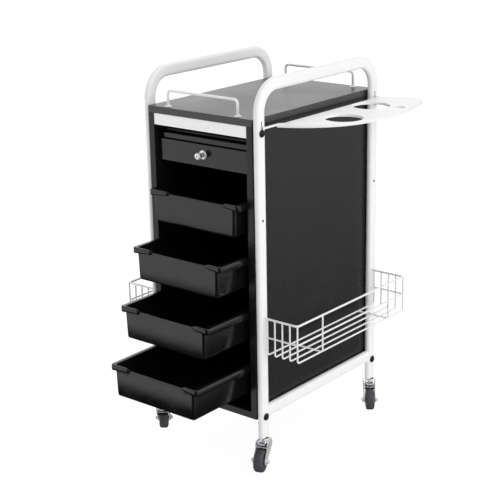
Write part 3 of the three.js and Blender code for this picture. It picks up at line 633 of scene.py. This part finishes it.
def caster(corner):
    """Oval insert and collar, a pressed fork with a rounded crown, an axle with its nut, and a wheel."""
    stem_lo, stem_hi = box_mm(f"caster_{corner}_stem")
    wheel_lo, wheel_hi = box_mm(f"caster_{corner}_wheel")
    shoulder = box_mm(f"caster_{corner}_fork")[1][2]
    fork_top = shoulder - 7
    x0, y0 = (stem_lo[0] + stem_hi[0]) / 2, (stem_lo[1] + stem_hi[1]) / 2
    wx, wy = (wheel_lo[0] + wheel_hi[0]) / 2, (wheel_lo[1] + wheel_hi[1]) / 2
    radius = (wheel_hi[2] - wheel_lo[2]) / 2
    axle_z = wheel_lo[2] + radius
    trail = math.hypot(wx - x0, wy - y0)
    back = Vector(((wx - x0) / trail, (wy - y0) / trail, 0))
    across = Vector((back.y, -back.x, 0))

    def at(px, py, pz):
        """A point across and behind the swivel line."""
        return (x0 + across.x * px + back.x * py, y0 + across.y * px + back.y * py, pz)

    def upright(name, profile, material, segments):
        """A piece turned about the swivel line; the profile's heights are real ones."""
        return turned(name, profile, material, (x0, y0, 0), (0, 0, 1), segments)

    collar_top = LEG_FOOT - 0.3
    insert = swept("stem_insert", [(x0, y0, collar_top - 1), (x0, y0, collar_top + 22)], 0,
                   oval(24.0, 10.2, 10), (1, 0, 0), MATT)
    collar = upright("stem_collar",
                     [(0.01, fork_top + 1.6), (9.8, fork_top + 1.6), (10.6, fork_top + 2.4),
                      (10.8, fork_top + 4.0), (10.3, fork_top + 6.0), (10.7, fork_top + 8.0),
                      (10.2, collar_top - 1.6), (0.01, collar_top - 1.6)],
                     CHROME, 48)
    rings = [upright("stem_ring",
                     [(0.01, z), (r, z), (r + 0.5, z + 0.4), (r + 0.5, z + 1.0), (0.01, z + 1.4)],
                     MATT, 40)
             for z, r in ((fork_top + 0.3, 10.4), (collar_top - 1.5, 9.6))]
    rivet = upright("stem_rivet",
                    [(0.01, fork_top - 7), (10.2, fork_top - 7), (10.8, fork_top - 6.4),
                     (10.8, fork_top - 4.4), (3.9, fork_top - 4.3), (3.9, fork_top + 0.5)],
                    MATT, 32)
    finish_piece(joined(f"stem_{corner}", [collar, insert, rivet] + rings), "frame", "chrome",
                 f"caster_{corner}_stem")

    # The fork is one pressed sheet: a section shaped like an upside-down U, cut to the cheeks' outline.
    crown = fork_top - CHEEK_SHEET / 2
    peak = shoulder - CHEEK_SHEET / 2
    section = [(-CHEEK_HALF, axle_z + rise) for rise in (-8, -7, -5, -2, 2, 6, 11, 17)]
    section += [(-CHEEK_HALF, z) for z in (crown - 8, crown - 3, peak - CHEEK_BEND - 1)]
    section += [(-CHEEK_HALF + CHEEK_BEND - CHEEK_BEND * math.cos(a),
                 peak - CHEEK_BEND + CHEEK_BEND * math.sin(a))
                for a in (0.3, 0.7, 1.1, math.pi / 2)]
    section += [(-8.6, peak - 1.6), (-7.6, crown + 2.2), (-6.4, crown + 0.3), (-5.2, crown),
                (-2.5, crown)]
    section += [(-x, z) for x, z in reversed(section)]

    def edges(px, pz):
        """How far forward and back the sheet reaches at a point of its section."""
        if pz >= crown and abs(px) < 9.0:
            return CROWN_FRONT - 1.5, CROWN_BACK + 1.0
        if pz > crown:
            rise = smooth_step((pz - crown) / (peak - crown))
            return CROWN_FRONT + 4.0 * rise, CROWN_BACK - 3.0 * rise
        if pz < axle_z:
            swell = math.sqrt(max(AXLE_BOSS ** 2 - (pz - axle_z) ** 2, 0.0)) + 0.3
            return trail - swell, trail + swell
        t = smooth_step((pz - axle_z) / (crown - 4 - axle_z))
        near, far = trail - AXLE_BOSS - 0.3, trail + AXLE_BOSS + 0.3
        return near + (CROWN_FRONT - near) * t, far + (CROWN_BACK - far) * t

    steps = 14
    strips = []
    for px, pz in section:
        near, far = edges(px, pz)
        strips.append([at(px, near + (far - near) * i / steps, pz) for i in range(steps + 1)])
    verts, faces = stitch(strips, closed_ring=False, cap_start=False, cap_end=False)
    fork = make_mesh(f"fork_{corner}", verts, faces, CHROME, 40.0)
    thick = fork.modifiers.new("sheet", "SOLIDIFY")
    thick.thickness = CHEEK_SHEET * MM
    thick.offset = 0.0
    soften(fork, 0.7, 3, 40.0)
    finish_piece(fork, f"caster_{corner}", "chrome", f"caster_{corner}_fork")

    # Between the cheeks: a chrome bridge just over the tyre, and a black sheet down its front edges that
    # paints the shade inside the fork.
    bridge_z = axle_z + radius + 1.9
    bridge_half = CHEEK_HALF - 0.9
    bridge = folded_sheet(f"fork_bridge_{corner}", [(y, bridge_z) for y in (16.0, 5.0, -12.0)],
                          bridge_half, BRIDGE_SHEET, CHROME, at)
    finish_piece(bridge, f"caster_{corner}", "chrome", f"caster_{corner}_fork")
    shade_sheet_heights = [bridge_z - 0.9] + [axle_z + rise for rise in (23.5, 20.5, 18.0, 15.5)]
    # a black sheet that paints the shade inside the fork, seen through the gap over the tyre
    shade_sheet = folded_sheet(f"fork_shade_sheet_{corner}",
                         [(edges(CHEEK_HALF, z)[0] + 1.4, z) for z in shade_sheet_heights],
                         bridge_half, BRIDGE_SHEET, MATT, at)
    finish_piece(shade_sheet, f"caster_{corner}", "black_matt", f"caster_{corner}_fork")

    axis = tuple(across)
    centre = (wx, wy, axle_z)
    bolt = turned("axle_bolt",
                  [(0.01, -19.8), (3.4, -19.8), (4.8, -19.0), (5.0, -17.6), (5.0, -15.2),
                   (3.0, -15.0), (3.0, 15.0), (6.2, 15.0), (6.4, 15.5), (3.0, 15.7), (2.9, 20.6),
                   (2.4, 21.2), (0.01, 21.2)],
                  CHROME, centre, axis, 32)
    nut = turned("axle_nut",
                 [(3.0, 15.6), (5.6, 15.6), (6.0, 16.0), (6.0, 18.6), (5.6, 19.0), (3.0, 19.0)],
                 CHROME, centre, axis, 6, 20.0)
    finish_piece(joined(f"axle_{corner}", [bolt, nut]), f"caster_{corner}", "chrome",
                 f"caster_{corner}_axle")

    w = TYRE_HALF
    left_half = [(17.2, -w + 1.6), (18.4, -w + 0.3), (20.6, -w), (radius - 2.2, -w + 0.8),
                 (radius - 0.8, -w + 2.4), (radius - 0.1, -w + 4.6), (radius, -2.2)]
    tyre = turned("tyre", left_half + [(r, -along) for r, along in reversed(left_half)], RUBBER,
                  centre, axis, 64)
    left_half = [(3.4, -11.2), (6.4, -11.2), (7.0, -10.4), (7.4, -w + 2.6), (9.0, -w + 2.2),
                 (15.8, -w + 2.4), (17.4, -w + 1.2)]
    disc = turned("wheel_disc", left_half + [(r, -along) for r, along in reversed(left_half)], HUB,
                  centre, axis, 48)
    finish_piece(joined(f"wheel_{corner}", [tyre, disc]), f"wheel_{corner}", "tyre_rubber",
                 f"caster_{corner}_wheel")


for corner in ("front_right", "front_left", "rear_right", "rear_left"):
    caster(corner)

# ---- Stage, light and camera -----------------------------------------------------------------
FLOOR_GLOW = 0.93
FLOOR_REACH = 30.0                     # metres, from the middle to each side
WHITE_LIGHT = (1, 1, 1, 1)
floor_mat = surface("pale_floor", (0.12, 0.12, 0.12), 0.8, tint=0.01, rough_spread=0.1, patch=2.0,
                    bump_scale=60, bump=0.02)
floor_shader = floor_mat.node_tree.nodes["Principled BSDF"]
floor_shader.inputs["Emission Color"].default_value = WHITE_LIGHT
floor_shader.inputs["Emission Strength"].default_value = FLOOR_GLOW
floor_mesh = bpy.data.meshes.new("floor")
floor_corners = [(x * FLOOR_REACH, y * FLOOR_REACH, 0) for x, y in ((-1, -1), (1, -1), (1, 1), (-1, 1))]
floor_mesh.from_pydata(floor_corners, [], [(0, 1, 2, 3)])
floor_mesh.materials.append(floor_mat)
floor = bpy.data.objects.new("floor", floor_mesh)
floor.visible_glossy = False
scene.collection.objects.link(floor)

scene.view_settings.view_transform = "Standard"
world = bpy.data.worlds.new("studio")
scene.world = world
world.use_nodes = True
sky = world.node_tree
direction = sky.nodes.new("ShaderNodeTexCoord").outputs["Generated"]


def lobe(toward, inner, outer, value):
    """A soft round patch of light in the studio: full inside the inner angle, gone at the outer one."""
    dot = sky.nodes.new("ShaderNodeVectorMath")
    dot.operation = "DOT_PRODUCT"
    dot.inputs[1].default_value = Vector(toward).normalized()
    sky.links.new(direction, dot.inputs[0])
    fade = sky.nodes.new("ShaderNodeMapRange")
    fade.interpolation_type = "SMOOTHSTEP"
    fade.inputs["From Min"].default_value = math.cos(math.radians(outer))
    fade.inputs["From Max"].default_value = math.cos(math.radians(inner))
    fade.inputs["To Max"].default_value = value
    sky.links.new(dot.outputs["Value"], fade.inputs["Value"])
    return fade.outputs["Result"]


BACKGROUND_LIGHT = 1.05
# Each patch of light: the direction it lies in, its full and its outer angle in degrees, its strength.
PATCHES = [
    ((0, 0, 1), 60, 92, 0.30),                 # the whole upper half
    ((0, 0, 1), 15, 60, 0.50),                 # overhead
    ((1, 0.15, 0.35), 20, 70, 1.0),            # right bank
    ((-1, 0.15, 0.35), 20, 70, 0.75),          # left bank
    ((-0.606, 0.737, 0.3), 12, 40, 0.62),      # far wall, which the worktop reflects
    ((-0.61, -0.74, -0.19), 16.5, 24.5, 1.2),  # what the tray fronts reflect
    ((0.61, 0.74, 0.06), 5, 30, 0.55),         # what the right panel reflects
]
total = lobe(*PATCHES[0])
for patch in PATCHES[1:]:
    add = sky.nodes.new("ShaderNodeMath")
    add.operation = "ADD"
    sky.links.new(total, add.inputs[0])
    sky.links.new(lobe(*patch), add.inputs[1])
    total = add.outputs["Value"]

# Seen directly, past the edge of the floor, the background is as pale as the floor.
rays = sky.nodes.new("ShaderNodeLightPath")
seen = sky.nodes.new("ShaderNodeMix")
seen.data_type = "FLOAT"
sky.links.new(rays.outputs["Is Camera Ray"], seen.inputs["Factor"])
sky.links.new(total, seen.inputs["A"])
seen.inputs["B"].default_value = BACKGROUND_LIGHT
sky.links.new(seen.outputs["Result"], sky.nodes["Background"].inputs["Strength"])
sky.nodes["Background"].inputs["Color"].default_value = WHITE_LIGHT


LIT_POINT = Vector((0, 0, 0.4))


def softbox(name, position, side, power):
    """A square lamp aimed at the cart's middle; places and sizes in metres, power in watts."""
    light = bpy.data.lights.new(name, "AREA")
    light.shape = "SQUARE"
    light.size = side
    light.energy = power
    obj = bpy.data.objects.new(name, light)
    obj.location = position
    obj.rotation_euler = (LIT_POINT - Vector(position)).to_track_quat("-Z", "Y").to_euler()
    scene.collection.objects.link(obj)


softbox("key_left", (-2.2, -2.4, 2.6), 2.2, 3)
softbox("fill_right", (3.0, -0.2, 2.4), 2.0, 14)

SENSOR_WIDTH = 36
FOCAL_IN_WIDTHS = 2.54278
CAMERA_PLACE = (1736.6, -2172.4, 1292.5)
AZIMUTH, PITCH, ROLL = math.radians(39.39), math.radians(17.409), math.radians(-1.068)
forward = Vector((-math.sin(AZIMUTH) * math.cos(PITCH), math.cos(AZIMUTH) * math.cos(PITCH),
                  -math.sin(PITCH)))
flat_right = Vector((math.cos(AZIMUTH), math.sin(AZIMUTH), 0))
flat_up = flat_right.cross(forward)
right = flat_right * math.cos(ROLL) + flat_up * math.sin(ROLL)
up = flat_up * math.cos(ROLL) - flat_right * math.sin(ROLL)
camera_data = bpy.data.cameras.new("camera")
camera_data.sensor_width = SENSOR_WIDTH
camera_data.lens = SENSOR_WIDTH * FOCAL_IN_WIDTHS
camera = bpy.data.objects.new("camera", camera_data)
turn = Matrix((right, up, -forward)).transposed().to_4x4()
camera.matrix_world = Matrix.Translation(place(*CAMERA_PLACE)) @ turn
scene.collection.objects.link(camera)
scene.camera = camera

bpy.context.view_layer.update()
